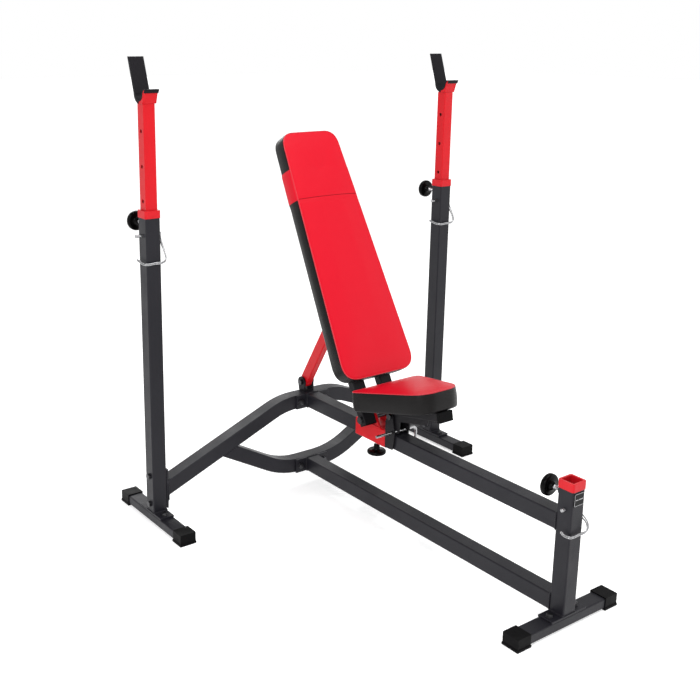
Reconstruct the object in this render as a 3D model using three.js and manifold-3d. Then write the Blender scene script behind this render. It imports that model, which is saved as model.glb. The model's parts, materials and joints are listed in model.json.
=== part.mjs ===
// An adjustable bench press with telescopic bar catches.
// Millimetres, +Z up, -Y towards the foot end. Left is -X and right is +X, as seen from the foot end.
// Everything is laid out from the plane of the two uprights (Y = 0), then the whole
// bench is moved by BENCH_SHIFT_Y so that its origin is under the middle of its footprint.

import * as THREE from 'three';
import { mergeVertices } from 'three/addons/utils/BufferGeometryUtils.js';
import Module from 'manifold-3d';

const wasm = await Module();
wasm.setup();

// ---------------------------------------------------------------- driving dimensions

const GAP = 0.3;                 // between pieces that touch
const TUBE = 50;                 // square frame tube
const WALL = 2.5;
const CORNER = 4;                // outer corner radius of the square tubes
const BENCH_SHIFT_Y = 507.2;

const UPRIGHT_X = 620;           // each upright's centre from the middle
const POST_TOP = 1030;
const FRONT_POST_Y = -1185;
const FRONT_POST_TOP = 414;

const FOOT_BOTTOM = 5;
const FOOT_HEIGHT = 30;
const FOOT_HALF_LENGTH = 190;
const FLANGE = { length: 140, thickness: 6, boltSpacing: 104, boltHole: 11 };

const CAP = { width: 58, length: 52, height: 38.5, reach: 207 };

const UPPER_RAIL_Z = 308.5;
const LOWER_RAIL_Z = 65;

const ARCH = { flatHalf: 66, radius: 255, angle: 22.0, boltHigh: 166, boltLow: 68.5 };
const BRACE = { flatHalf: 40, radius: 300, angle: 28.5 };

const SLEEVE = { outer: 54, inner: 40.8, head: 19, skirt: 5, plug: 14 };

const CATCH_TUBE = { size: 40, top: 1373, length: 745, holePitch: 107, holeDiameter: 13 };
const CRADLE = { radius: 20, z: 1404, width: 50, liner: 4, outer: 30.5, lipTop: 1417, guardTop: 1510 };

const LOCK_PIN_Z = 970;
const FRONT_PIN_Z = 352;
const PIN = { shaft: 10, wire: 5, head: 16, headLength: 12 };
const BAIL = { upright: { drop: 84, hook: 18 }, front: { drop: 67, hook: -4 } };

const KNOB = { diameter: 63, thickness: 20, screw: 12 };
const KNOB_STEM = { upright: 50, front: 42, carriage: 36 };
const KNOB_Z = 1003;
const FRONT_KNOB_Z = 390;

// Backrest linkage: the strut and the stretch of backrest between its two pivots are
// equally long, so the lower backrest pivot travels along a level line through the strut's foot.
const BACK_ANGLE = 61;           // pad above the horizontal
const STRUT_ANGLE = 59.4;        // strut above the horizontal
const STRUT_FOOT = { y: 12, z: 365 };
const BACK_PIVOT = { y: -399, z: 365 };
const STRUT_LENGTH = (STRUT_FOOT.y - BACK_PIVOT.y) / 2 / Math.cos(THREE.MathUtils.degToRad(STRUT_ANGLE));
const STRUT = { width: 26, depth: 40, bolt: 12 };

const BACK_RAIL = { width: 48, depth: 30, centreX: 56, below: 18, above: 800 };
const BACK_PAD = { start: 123.6, length: 859, bottomWidth: 302, topWidth: 231, foam: 44, board: 12,
  bottomCorner: 62, topCorner: 40 };

const CARRIAGE = { outer: 61, length: 150, centreY: -387, clearance: 1 };
const SEAT_TILT = 11.6;          // front edge up
const SEAT_PIVOT = { y: -484, z: 394 };
const SEAT_PAD = { top: 98.5, rear: 53, front: -222, rearWidth: 297, frontWidth: 160, foam: 52.5, board: 12 };
const SEAT_BEAM = { width: 50, height: 30, top: 33.2, rear: 30, front: -214 };
const SEAT_ROD = { y: -497, z: 343.5, diameter: 9, left: -98, right: 70, handle: 46 };

// ---------------------------------------------------------------- materials

const finish = (color, roughness, metalness) => new THREE.MeshStandardMaterial({ color, roughness, metalness });
const greyCoat = finish(0x2f2e31, 0.45, 0.2);
const redCoat = finish(0xc8102e, 0.35, 0.2);
const zinc = finish(0xb4b4b8, 0.35, 0.9);
const blackPlastic = finish(0x121212, 0.5, 0);
const redPlastic = finish(0xc01825, 0.4, 0);
const blackCoat = finish(0x1b1a1c, 0.5, 0.2);
const redVinyl = finish(0xd8182c, 0.45, 0);
const boardBlack = finish(0x191817, 0.7, 0);
const plate = finish(0x202022, 0.4, 0.3);

// ---------------------------------------------------------------- solids and shapes

const HALF_PI = Math.PI / 2;
const rad = THREE.MathUtils.degToRad;

function toSolid(geometry) {
  const bare = geometry.clone();
  bare.deleteAttribute('normal');
  bare.deleteAttribute('uv');
  const welded = mergeVertices(bare, 1e-3);
  return new wasm.Manifold(new wasm.Mesh({
    numProp: 3,
    vertProperties: new Float32Array(welded.attributes.position.array),
    triVerts: new Uint32Array(welded.index.array),
  }));
}

function toGeometry(solid) {
  const mesh = solid.getMesh();
  const geometry = new THREE.BufferGeometry();
  geometry.setAttribute('position', new THREE.BufferAttribute(new Float32Array(mesh.vertProperties), 3));
  geometry.setIndex(new THREE.BufferAttribute(new Uint32Array(mesh.triVerts), 1));
  geometry.computeVertexNormals();
  return geometry;
}

function join(...geometries) {
  return toGeometry(geometries.map(toSolid).reduce((whole, piece) => whole.add(piece)));
}

function cut(geometry, ...tools) {
  return toGeometry(tools.map(toSolid).reduce((whole, tool) => whole.subtract(tool), toSolid(geometry)));
}

// A box between two corners.
function box(low, high) {
  const size = high.map((value, axis) => value - low[axis]);
  const centre = high.map((value, axis) => (value + low[axis]) / 2);
  return new THREE.BoxGeometry(...size).translate(...centre);
}

// A round bar centred on a point, along 'x', 'y' or 'z'.
function bar(diameter, length, axis, centre, sides = 16) {
  const geometry = new THREE.CylinderGeometry(diameter / 2, diameter / 2, length, sides);
  if (axis === 'x') geometry.rotateZ(HALF_PI);
  if (axis === 'z') geometry.rotateX(HALF_PI);
  return geometry.translate(...centre);
}

function roundedRectangle(width, height, radius) {
  const x = width / 2;
  const y = height / 2;
  const shape = new THREE.Shape();
  shape.moveTo(-x + radius, -y);
  shape.lineTo(x - radius, -y);
  shape.absarc(x - radius, -y + radius, radius, -HALF_PI, 0);
  shape.lineTo(x, y - radius);
  shape.absarc(x - radius, y - radius, radius, 0, HALF_PI);
  shape.lineTo(-x + radius, y);
  shape.absarc(-x + radius, y - radius, radius, HALF_PI, Math.PI);
  shape.lineTo(-x, -y + radius);
  shape.absarc(-x + radius, -y + radius, radius, Math.PI, 1.5 * Math.PI);
  return shape;
}

function extrude(shape, depth, curveSegments = 2) {
  return new THREE.ExtrudeGeometry(shape, { depth, bevelEnabled: false, curveSegments });
}

// A hollow rectangular tube standing on Z = 0, open at both ends.
function squareTube(width, height, length, wall = WALL, radius = CORNER) {
  const shape = roundedRectangle(width, height, radius);
  shape.holes.push(roundedRectangle(width - 2 * wall, height - 2 * wall, Math.max(radius - wall, 1)));
  return extrude(shape, length);
}

const alongY = (geometry) => geometry.rotateX(-HALF_PI);
const alongX = (geometry) => geometry.rotateY(HALF_PI).rotateX(HALF_PI);

// A flat plate whose outline is drawn in the Y-Z plane, from X = x0 to X = x1.
function plateAcrossX(outline, x0, x1, curveSegments = 6) {
  const geometry = extrude(outline, x1 - x0, curveSegments);
  return geometry.rotateY(HALF_PI).rotateX(HALF_PI).translate(x0, 0, 0);
}

// A hexagon bolt along X: head at the low end, nut and thread end at the high end.
function boltAlongX(diameter, x0, x1, y, z) {
  const across = diameter * 1.75;
  const headHeight = diameter * 0.6;
  const nutHeight = diameter * 0.75;
  const shankStart = x0 - headHeight / 2;
  const shankEnd = x1 + nutHeight + 2;
  return join(
    bar(diameter, shankEnd - shankStart, 'x', [(shankStart + shankEnd) / 2, y, z], 12),
    bar(across, headHeight, 'x', [x0 - headHeight / 2, y, z], 6),
    bar(across, nutHeight, 'x', [x1 + nutHeight / 2, y, z], 6),
  );
}

const bench = new THREE.Group();
bench.position.set(0, BENCH_SHIFT_Y, 0);

function piece(name, geometry, material, parent = bench) {
  const mesh = new THREE.Mesh(geometry, material);
  mesh.name = name;
  parent.add(mesh);
  return mesh;
}

// ---------------------------------------------------------------- feet

// Foot beams lie along Y under the uprights and along X under the front post.
function footBeam() {
  return alongY(squareTube(TUBE, FOOT_HEIGHT, 2 * FOOT_HALF_LENGTH))
    .translate(0, -FOOT_HALF_LENGTH, FOOT_BOTTOM + FOOT_HEIGHT / 2);
}

// A moulded end cap that carries the end of a foot beam, with a wider sole.
function footCap() {
  const inner = CAP.reach - CAP.length;
  const half = CAP.width / 2;
  const body = box([-half + 1.5, inner, 6], [half - 1.5, CAP.reach - 1.5, CAP.height]);
  const sole = box([-half, inner - 1.5, 0], [half, CAP.reach, 7]);
  const socket = box([-TUBE / 2 - GAP, inner - 5, FOOT_BOTTOM - GAP],
    [TUBE / 2 + GAP, FOOT_HALF_LENGTH + GAP, FOOT_BOTTOM + FOOT_HEIGHT + GAP]);
  return cut(join(body, sole), socket);
}

function addFoot(name, x, y, turn, ends) {
  const foot = new THREE.Group();
  foot.position.set(x, y, 0);
  foot.rotation.z = turn;
  bench.add(foot);
  piece(`${name}_foot_beam`, footBeam(), greyCoat, foot);
  ends.forEach((end, index) => {
    const cap = piece(`${name}_foot_cap_${end}`, footCap(), blackPlastic, foot);
    cap.rotation.z = index * Math.PI;
  });
}

// ---------------------------------------------------------------- posts and sleeves

// A square post on a bolted base flange, with a welded nut boss on its rear face.
// The lock pin's hole goes through both side walls.
function post(top, flangeAlongX, pinZ, knobZ) {
  const bottom = FOOT_BOTTOM + FOOT_HEIGHT + GAP;
  const tube = squareTube(TUBE, TUBE, top - bottom).translate(0, 0, bottom);
  const half = FLANGE.length / 2;
  const flange = flangeAlongX
    ? box([-half, -TUBE / 2, bottom], [half, TUBE / 2, bottom + FLANGE.thickness])
    : box([-TUBE / 2, -half, bottom], [TUBE / 2, half, bottom + FLANGE.thickness]);
  const boss = bar(24, 12, 'y', [0, TUBE / 2 + 5, knobZ], 24);
  const boltHoles = [-1, 1].map((side) => {
    const along = side * FLANGE.boltSpacing / 2;
    return bar(FLANGE.boltHole, 20, 'z', flangeAlongX ? [along, 0, bottom] : [0, along, bottom], 12);
  });
  return cut(join(tube, flange, boss), ...boltHoles,
    bar(PIN.shaft + 1, TUBE + 10, 'x', [0, 0, pinZ], 16),
    bar(KNOB.screw + 1, 30, 'y', [0, TUBE / 2 + 5, knobZ], 16));
}

function uprightPost() {
  const across = [ARCH.boltHigh, ARCH.boltLow].map((z) => bar(13, TUBE + 10, 'x', [0, 0, z], 12));
  return cut(post(POST_TOP, false, LOCK_PIN_Z, KNOB_Z), ...across);
}

// A moulded sleeve: a head on the post's top, a skirt round it and a short bush inside it.
function postSleeve(postTop) {
  const { outer, inner, head, skirt, plug } = SLEEVE;
  const cap = extrude(roundedRectangle(outer, outer, 6), head + skirt).translate(0, 0, postTop + GAP - skirt);
  const room = box([-TUBE / 2 - GAP, -TUBE / 2 - GAP, postTop - skirt - 2],
    [TUBE / 2 + GAP, TUBE / 2 + GAP, postTop + GAP]);
  const plugSize = TUBE - 2 * WALL - 2 * GAP;
  const bush = extrude(roundedRectangle(plugSize, plugSize, 2), plug + 2).translate(0, 0, postTop - plug);
  const bore = box([-inner / 2, -inner / 2, postTop - plug - 5], [inner / 2, inner / 2, postTop + head + 5]);
  return cut(join(cut(cap, room), bush), bore);
}

// ---------------------------------------------------------------- cross frame and rails

// The closed outline, in X-Z, of a band round a bent centreline: a flat middle, two arcs
// and two straight legs. rise is +1 for legs that go up and -1 for legs that go down.
function bentBand(bend, z, endX, rise, halfDepth) {
  const angle = rad(bend.angle);
  const shape = new THREE.Shape();
  const edge = (offset) => {
    const radius = bend.radius - rise * offset;
    const centreZ = z + rise * bend.radius;
    const points = [];
    for (let step = 0; step <= 6; step += 1) {
      const turn = (angle * step) / 6;
      points.push([bend.flatHalf + radius * Math.sin(turn), centreZ - rise * radius * Math.cos(turn)]);
    }
    const [lastX, lastZ] = points[points.length - 1];
    points.push([endX, lastZ + rise * (endX - lastX) * Math.tan(angle)]);
    return points;
  };
  const top = edge(halfDepth);
  const bottom = edge(-halfDepth);
  const mirrored = (points) => points.map(([x, height]) => [-x, height]).reverse();
  const outline = [...mirrored(bottom), ...bottom, ...top.slice().reverse(), ...mirrored(top).reverse()];
  outline.forEach(([x, height], index) => (index ? shape.lineTo(x, height) : shape.moveTo(x, height)));
  return shape;
}

// A band extruded through the tube's depth, with its long edges eased.
function bentBar(bend, z, endX, rise, size, ease) {
  const depth = size - 2 * ease;
  const geometry = new THREE.ExtrudeGeometry(bentBand(bend, z, endX, rise, size / 2), {
    depth, bevelEnabled: ease > 0, bevelThickness: ease, bevelSize: ease, bevelOffset: -ease, bevelSegments: 1,
  });
  return geometry.rotateX(HALF_PI).translate(0, depth / 2, 0);
}

const bentTube = (bend, z, endX, rise) => cut(
  bentBar(bend, z, endX, rise, TUBE, 2),
  bentBar(bend, z, endX + 20, rise, TUBE - 2 * WALL, 0),
);

const archLegZ = (x) => {
  const angle = rad(ARCH.angle);
  const arcX = ARCH.flatHalf + ARCH.radius * Math.sin(angle);
  return UPPER_RAIL_Z - ARCH.radius * (1 - Math.cos(angle)) - (x - arcX) * Math.tan(angle);
};

// The arched cross member with a bolted end plate against each upright.
function crossArch() {
  const plateFace = UPRIGHT_X - TUBE / 2 - GAP;
  const plateInner = plateFace - FLANGE.thickness;
  const low = ARCH.boltLow - 20;
  const high = ARCH.boltHigh + 20;
  const plates = [-1, 1].map((side) => {
    const xs = [side * plateFace, side * plateInner].sort((a, b) => a - b);
    return box([xs[0], -TUBE / 2, low], [xs[1], TUBE / 2, high]);
  });
  const legZ = archLegZ(plateFace);
  const holes = [ARCH.boltHigh, ARCH.boltLow, legZ].map((z) => bar(13, 2 * UPRIGHT_X, 'x', [0, 0, z], 12));
  const tube = bentTube(ARCH, UPPER_RAIL_Z, plateInner + 1, -1);
  const shortHoles = [-1, 1].flatMap((side) => holes.map((hole) => toSolid(hole)
    .subtract(toSolid(box([-plateInner + 8, -30, 0], [plateInner - 8, 30, 400])))));
  const whole = join(tube, ...plates);
  return toGeometry(shortHoles.reduce((solid, hole) => solid.subtract(hole), toSolid(whole)));
}

// The lower cross brace, bent the other way and trimmed to the arch's underside.
function crossBrace() {
  const arch = bentBar(ARCH, UPPER_RAIL_Z, UPRIGHT_X, -1, TUBE + 2 * GAP, 0);
  const brace = toSolid(bentTube(BRACE, LOWER_RAIL_Z, 430, 1)).subtract(toSolid(arch));
  const lowest = brace.decompose().sort((a, b) => a.boundingBox().min[2] - b.boundingBox().min[2])[0];
  return toGeometry(lowest);
}

// A rail from the cross frame to the front post, with a bolted flange at its rear end.
function rail(z) {
  const rear = -TUBE / 2 - GAP;
  const front = FRONT_POST_Y + TUBE / 2 + GAP;
  const length = rear - FLANGE.thickness + 1 - front;
  const tube = alongY(squareTube(TUBE, TUBE, length)).translate(0, front, z);
  const half = FLANGE.length / 2;
  const flange = box([-half, rear - FLANGE.thickness, z - TUBE / 2], [half, rear, z + TUBE / 2]);
  const holes = [-1, 1].map((side) => bar(FLANGE.boltHole, 20, 'y', [side * FLANGE.boltSpacing / 2, rear, z], 12));
  return cut(join(tube, flange), ...holes);
}

// The fork on top of the arch that holds the strut's foot.
function strutClevis() {
  const base = UPPER_RAIL_Z + TUBE / 2 + GAP;
  const ear = new THREE.Shape();
  ear.moveTo(-20, 0);
  ear.lineTo(13, 0);
  ear.lineTo(20, STRUT_FOOT.z - base);
  ear.absarc(0, STRUT_FOOT.z - base, 20, 0, Math.PI);
  const inner = STRUT.width / 2 + 1.5;
  const ears = [-1, 1].map((side) => {
    const xs = [side * inner, side * (inner + 6)].sort((a, b) => a - b);
    return plateAcrossX(ear, ...xs).translate(0, STRUT_FOOT.y, base);
  });
  const foot = box([-inner - 6, STRUT_FOOT.y - 20, base], [inner + 6, STRUT_FOOT.y + 13, base + 5]);
  return cut(join(foot, ...ears), bar(STRUT.bolt + 0.8, 80, 'x', [0, STRUT_FOOT.y, STRUT_FOOT.z]));
}

function archBolt(z) {
  const innerFace = TUBE / 2 + GAP + FLANGE.thickness + GAP;
  return boltAlongX(12, -TUBE / 2 - GAP, innerFace, 0, z);
}

// ---------------------------------------------------------------- knobs and lock pins

// A round clamping knob on a threaded stem. Its tip is at the origin and it points along +Y.
function knob(stemEnd) {
  const profile = [
    [0, 0], [KNOB.screw / 2, 0], [KNOB.screw / 2, stemEnd - 10], [11, stemEnd - 8], [13, stemEnd],
    [KNOB.diameter / 2 - 3, stemEnd + 2], [KNOB.diameter / 2, stemEnd + 6],
    [KNOB.diameter / 2, stemEnd + KNOB.thickness - 5], [KNOB.diameter / 2 - 5, stemEnd + KNOB.thickness],
    [0, stemEnd + KNOB.thickness],
  ].map(([radius, along]) => new THREE.Vector2(radius, along));
  return new THREE.LatheGeometry(profile, 20);
}

// A quick-lock pin: a headed shaft through the post's wall and a sprung wire bail that
// drops from the head, crosses the post's front face and hooks round its other side.
function lockPin(z, shaftEnd, { drop, hook }) {
  const side = TUBE / 2 + 9;
  const low = -drop;
  const path = new THREE.CatmullRomCurve3([
    [side, 0, 0], [side, -8, -22], [side + 1, -26, low + 26], [side, -34, low + 8], [side - 12, -33, low],
    [-side + 14, -32, low - 2], [-side + 2, -29, low - 1], [-side - 1, -14, low], [-side - 1, hook, low + 5],
  ].map((point) => new THREE.Vector3(...point)), false, 'catmullrom', 0.25);
  const section = new THREE.Shape().absarc(0, 0, PIN.wire / 2, 0, 2 * Math.PI);
  const bail = new THREE.ExtrudeGeometry(section, { steps: 26, extrudePath: path, curveSegments: 3 });
  const head = bar(PIN.head, PIN.headLength, 'x', [TUBE / 2 + GAP + PIN.headLength / 2, 0, 0], 16);
  const shaft = bar(PIN.shaft, side - shaftEnd, 'x', [(side + shaftEnd) / 2, 0, 0], 16);
  return join(bail, head, shaft).translate(0, 0, z);
}

// ---------------------------------------------------------------- bar catches

function catchTube() {
  const { size, top, length, holePitch, holeDiameter } = CATCH_TUBE;
  const tube = squareTube(size, size, length, WALL, 3).translate(0, 0, top - length);
  const holes = [];
  for (let step = -3; step <= 3; step += 1) {
    holes.push(bar(holeDiameter, size + 10, 'x', [0, 0, LOCK_PIN_Z + step * holePitch], 8));
  }
  return cut(tube, ...holes);
}

// The red steel front of the hook: a foot on the tube, a quarter round and a leaning lip.
function catchHook() {
  const foot = CATCH_TUBE.top + GAP;
  const { radius, z, liner, outer, lipTop } = CRADLE;
  const inside = radius + liner + GAP;
  const shape = new THREE.Shape();
  shape.moveTo(0, foot);
  shape.lineTo(0, z - inside);
  shape.absarc(0, z, inside, -HALF_PI, -Math.PI, true);
  shape.lineTo(-inside - 8, lipTop - 3);
  shape.lineTo(-inside - 13.5, lipTop - 3);
  shape.lineTo(-outer, z - 2);
  shape.lineTo(-21, foot);
  return plateAcrossX(shape, -CRADLE.width / 2 + 1, CRADLE.width / 2 - 1);
}

// The black moulded guard: a thin liner in the cradle that thickens into a tall leaning back.
function catchGuard() {
  const foot = CATCH_TUBE.top + GAP;
  const { radius, z, liner, outer, lipTop, guardTop, width } = CRADLE;
  const shape = new THREE.Shape();
  shape.moveTo(GAP, foot);
  shape.lineTo(8, foot);
  shape.absarc(0, z, outer, -rad(72), 0);
  shape.lineTo(65, guardTop);
  shape.lineTo(56, guardTop);
  shape.lineTo(radius, z);
  shape.absarc(0, z, radius, 0, -Math.PI, true);
  shape.lineTo(-radius - 7, lipTop);
  shape.lineTo(-radius - liner - 16.3, lipTop);
  shape.lineTo(-radius - liner - 11.1, lipTop - 11.9);
  shape.lineTo(-radius - liner - 9.4, lipTop - 10.9);
  shape.lineTo(-radius - liner - 14.1, lipTop - 3.2);
  shape.lineTo(-radius - liner - 14.1, lipTop - 2.5);
  shape.lineTo(-radius - liner - 7.7, lipTop - 2.5);
  shape.lineTo(-radius - liner, z);
  shape.absarc(0, z, radius + liner, -Math.PI, -HALF_PI);
  shape.lineTo(GAP, z - radius - liner);
  return plateAcrossX(shape, -width / 2, width / 2);
}

function addUpright(side, x) {
  const upright = new THREE.Group();
  upright.position.set(x, 0, 0);
  bench.add(upright);
  piece(`${side}_upright_post`, uprightPost(), greyCoat, upright);
  piece(`${side}_post_sleeve`, postSleeve(POST_TOP), redPlastic, upright);
  piece(`${side}_catch_tube`, catchTube(), redCoat, upright);
  piece(`${side}_catch_hook`, catchHook(), redCoat, upright);
  piece(`${side}_catch_guard`, catchGuard(), blackPlastic, upright);
  piece(`${side}_lock_pin`, lockPin(LOCK_PIN_Z, CATCH_TUBE.size / 2 + 1, BAIL.upright), zinc, upright);
  const clamp = piece(`${side}_knob`, knob(KNOB_STEM.upright + TUBE / 2 - CATCH_TUBE.size / 2), blackPlastic, upright);
  clamp.position.set(0, CATCH_TUBE.size / 2 + 1, KNOB_Z);
}

function addArchBolts() {
  for (const [side, x, turn] of [['left', -UPRIGHT_X, 0], ['right', UPRIGHT_X, Math.PI]]) {
    for (const [level, z] of [['upper', ARCH.boltHigh], ['lower', ARCH.boltLow]]) {
      const bolt = piece(`${side}_arch_bolt_${level}`, archBolt(z), zinc);
      bolt.position.x = x;
      bolt.rotation.z = turn;
    }
  }
}

function addFrontPost() {
  const front = new THREE.Group();
  front.position.set(0, FRONT_POST_Y, 0);
  bench.add(front);
  piece('front_post', post(FRONT_POST_TOP, true, FRONT_PIN_Z, FRONT_KNOB_Z), greyCoat, front);
  piece('front_post_sleeve', postSleeve(FRONT_POST_TOP), redPlastic, front);
  piece('front_lock_pin', lockPin(FRONT_PIN_Z, -TUBE / 2 - 12, BAIL.front), zinc, front);
  const clamp = piece('front_knob', knob(KNOB_STEM.front), blackPlastic, front);
  clamp.position.set(0, TUBE / 2 - WALL + 1, FRONT_KNOB_Z);
  const face = -TUBE / 2 - GAP;
  piece('front_post_plate', box([-20, face - 1.5, 367], [20, face, 404]), plate, front);
}

// ---------------------------------------------------------------- carriage and seat

// The red sleeve that slides on the upper rail, with two ears for the backrest's pivot
// and a nut boss below for the clamping knob.
function carriageSleeve() {
  const { outer, length, centreY, clearance } = CARRIAGE;
  const inner = TUBE + 2 * clearance;
  const sleeve = alongY(squareTube(outer, outer, length, (outer - inner) / 2, 5))
    .translate(0, centreY - length / 2, UPPER_RAIL_Z);
  const top = UPPER_RAIL_Z + outer / 2;
  const ear = new THREE.Shape();
  ear.moveTo(-38, top - 3);
  ear.lineTo(30, top - 3);
  ear.lineTo(18, BACK_PIVOT.z + 4);
  ear.absarc(0, BACK_PIVOT.z, 18, 0.2, Math.PI - 0.2);
  const ears = [-1, 1].map((side) => {
    const xs = [side * (outer / 2 - 6), side * outer / 2].sort((a, b) => a - b);
    return plateAcrossX(ear, ...xs).translate(0, BACK_PIVOT.y, 0);
  });
  const bottom = UPPER_RAIL_Z - outer / 2;
  const boss = bar(24, 12, 'z', [0, centreY, bottom - 4], 24);
  return cut(join(sleeve, ...ears, boss),
    bar(14.8, 100, 'x', [0, BACK_PIVOT.y, BACK_PIVOT.z]),
    bar(KNOB.screw + 1, 24, 'z', [0, centreY, bottom - 4], 16));
}

// Two black cheeks in front of the sleeve, joined across it, that hold the seat's pivot and rod.
function seatBracket() {
  const rear = CARRIAGE.centreY - CARRIAGE.length / 2 - GAP;
  const front = SEAT_ROD.y - 10;
  const cheek = new THREE.Shape();
  cheek.moveTo(rear, 282);
  cheek.lineTo(front + 10, 284);
  cheek.quadraticCurveTo(front, 310, front, SEAT_ROD.z);
  cheek.lineTo(SEAT_PIVOT.y - 12, SEAT_PIVOT.z);
  cheek.absarc(SEAT_PIVOT.y, SEAT_PIVOT.z, 12, Math.PI, 0.2, true);
  cheek.lineTo(rear, 372);
  const inner = TUBE / 2 + 1.4;
  const cheeks = [-1, 1].map((side) => {
    const xs = [side * inner, side * (inner + 5)].sort((a, b) => a - b);
    return plateAcrossX(cheek, ...xs);
  });
  const railTop = UPPER_RAIL_Z + TUBE / 2;
  const web = box([-inner - 2, rear - 5, railTop + 2], [inner + 2, rear, 366]);
  return cut(join(web, ...cheeks),
    bar(12.8, 100, 'x', [0, SEAT_PIVOT.y, SEAT_PIVOT.z]),
    bar(SEAT_ROD.diameter + 1.2, 100, 'x', [0, SEAT_ROD.y, SEAT_ROD.z], 16));
}

// The rod that holds the seat's tilt, bent down into a handle at its right end.
function seatRod() {
  const { y, z, diameter, left, right, handle } = SEAT_ROD;
  const bend = 12;
  const path = new THREE.CurvePath();
  const corner = new THREE.Vector3(right, y, z);
  const before = new THREE.Vector3(right - bend, y, z);
  const after = new THREE.Vector3(right, y, z - bend);
  path.add(new THREE.LineCurve3(new THREE.Vector3(left, y, z), before));
  path.add(new THREE.QuadraticBezierCurve3(before, corner, after));
  path.add(new THREE.LineCurve3(after, new THREE.Vector3(right, y, z - handle)));
  const section = new THREE.Shape().absarc(0, 0, diameter / 2, 0, 2 * Math.PI);
  return new THREE.ExtrudeGeometry(section, { steps: 24, extrudePath: path, curveSegments: 4 });
}

// In the seat's own frame: origin at its pivot, +Z up through the cushion, -Y to its front edge.
const seat = new THREE.Group();
seat.position.set(0, SEAT_PIVOT.y, SEAT_PIVOT.z);
seat.rotation.x = -rad(SEAT_TILT);

function inSeatFrame(y, z) {
  const turn = rad(SEAT_TILT);
  const dy = y - SEAT_PIVOT.y;
  const dz = z - SEAT_PIVOT.z;
  return { y: dy * Math.cos(turn) - dz * Math.sin(turn), z: dy * Math.sin(turn) + dz * Math.cos(turn) };
}

// The seat's beam with two side plates under it, each with a slotted quadrant at its rear.
function seatBeam() {
  const { width, height, top, rear, front } = SEAT_BEAM;
  const tube = alongY(squareTube(width, height, rear - front)).translate(0, front, top - height / 2);
  const rod = inSeatFrame(SEAT_ROD.y, SEAT_ROD.z);
  const reach = Math.hypot(rod.y, rod.z);
  const start = Math.atan2(rod.z, rod.y);
  const end = start - rad(SEAT_TILT);
  const outline = new THREE.Shape();
  outline.moveTo(12, 5);
  outline.lineTo(10, -4);
  outline.absarc(0, 0, reach + 7, start + 0.16, end - 0.18, true);
  outline.lineTo(-34, -16);
  outline.lineTo(-162, -13);
  outline.lineTo(-172, 5);
  const halfSlot = SEAT_ROD.diameter / 2 + 0.7;
  const slot = new THREE.Shape();
  slot.absarc(0, 0, reach + halfSlot, start + 0.02, end - 0.02, true);
  slot.absarc(0, 0, reach - halfSlot, end - 0.02, start + 0.02, false);
  const quadrants = [-1, 1].map((side) => {
    const xs = [side * 19, side * 24].sort((a, b) => a - b);
    return cut(plateAcrossX(outline, ...xs), plateAcrossX(slot, xs[0] - 5, xs[1] + 5),
      ...[start, end].map((turn) => bar(2 * halfSlot, 20, 'x',
        [(xs[0] + xs[1]) / 2, reach * Math.cos(turn), reach * Math.sin(turn)], 16)));
  });
  return cut(join(tube, ...quadrants), bar(12.8, 100, 'x', [0, 0, 0]));
}

// A trapezium with round corners, drawn with its wide end at y0 and its narrow end at y1.
function taperedOutline(y0, width0, corner0, y1, width1, corner1) {
  const away = Math.sign(y1 - y0);
  const corner = (x, y, radius, alongEnd, alongSide) => [
    [x - alongEnd[0] * radius, y - alongEnd[1] * radius],
    [x, y],
    [x + alongSide[0] * radius, y + alongSide[1] * radius],
  ];
  const slope = (width1 - width0) / 2 / Math.abs(y1 - y0);
  const length = Math.hypot(1, slope);
  const rightUp = [slope / length, away / length];
  const leftDown = [slope / length, -away / length];
  const corners = [
    corner(width0 / 2, y0, corner0, [1, 0], rightUp),
    corner(width1 / 2, y1, corner1, rightUp, [-1, 0]),
    corner(-width1 / 2, y1, corner1, [-1, 0], leftDown),
    corner(-width0 / 2, y0, corner0, leftDown, [1, 0]),
  ];
  const shape = new THREE.Shape();
  corners.forEach(([from, at, to], index) => {
    if (index === 0) shape.moveTo(...from);
    else shape.lineTo(...from);
    shape.quadraticCurveTo(...at, ...to);
  });
  return shape;
}

function seatCushion(low, high, inset) {
  const { rear, front, rearWidth, frontWidth } = SEAT_PAD;
  const outline = taperedOutline(rear - inset, rearWidth - 2 * inset, 30, front + inset, frontWidth - 2 * inset, 48);
  return extrude(outline, high - low, 6).translate(0, 0, low);
}

function addSeat() {
  bench.add(seat);
  const { top, foam, board } = SEAT_PAD;
  piece('seat_beam', seatBeam(), blackCoat, seat);
  const beamMiddle = SEAT_BEAM.top - SEAT_BEAM.height / 2;
  const plug = box([-27, SEAT_BEAM.front - 14, beamMiddle - 17], [27, SEAT_BEAM.front - GAP, beamMiddle + 15]);
  piece('seat_beam_plug', plug, blackPlastic, seat);
  piece('seat_board', seatCushion(top - foam - GAP - board, top - foam - GAP, 6), boardBlack, seat);
  piece('seat_pad', seatCushion(top - foam, top, 0), redVinyl, seat);
  piece('seat_pivot_bolt', boltAlongX(12, -TUBE / 2 - 7, TUBE / 2 + 7, SEAT_PIVOT.y, SEAT_PIVOT.z), zinc);
}

function addCarriage() {
  piece('carriage_sleeve', carriageSleeve(), redCoat);
  piece('seat_bracket', seatBracket(), blackCoat);
  piece('seat_lock_rod', seatRod(), zinc);
  const clamp = piece('carriage_knob', knob(KNOB_STEM.carriage), blackPlastic);
  clamp.position.set(0, CARRIAGE.centreY, UPPER_RAIL_Z - TUBE / 2 - CARRIAGE.clearance - 1);
  clamp.rotation.x = -HALF_PI;
  const outside = BACK_RAIL.centreX + BACK_RAIL.width / 2 + GAP;
  piece('backrest_pivot_bolt', boltAlongX(14, -outside, outside, BACK_PIVOT.y, BACK_PIVOT.z), zinc);
}

// ---------------------------------------------------------------- strut and backrest

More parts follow.
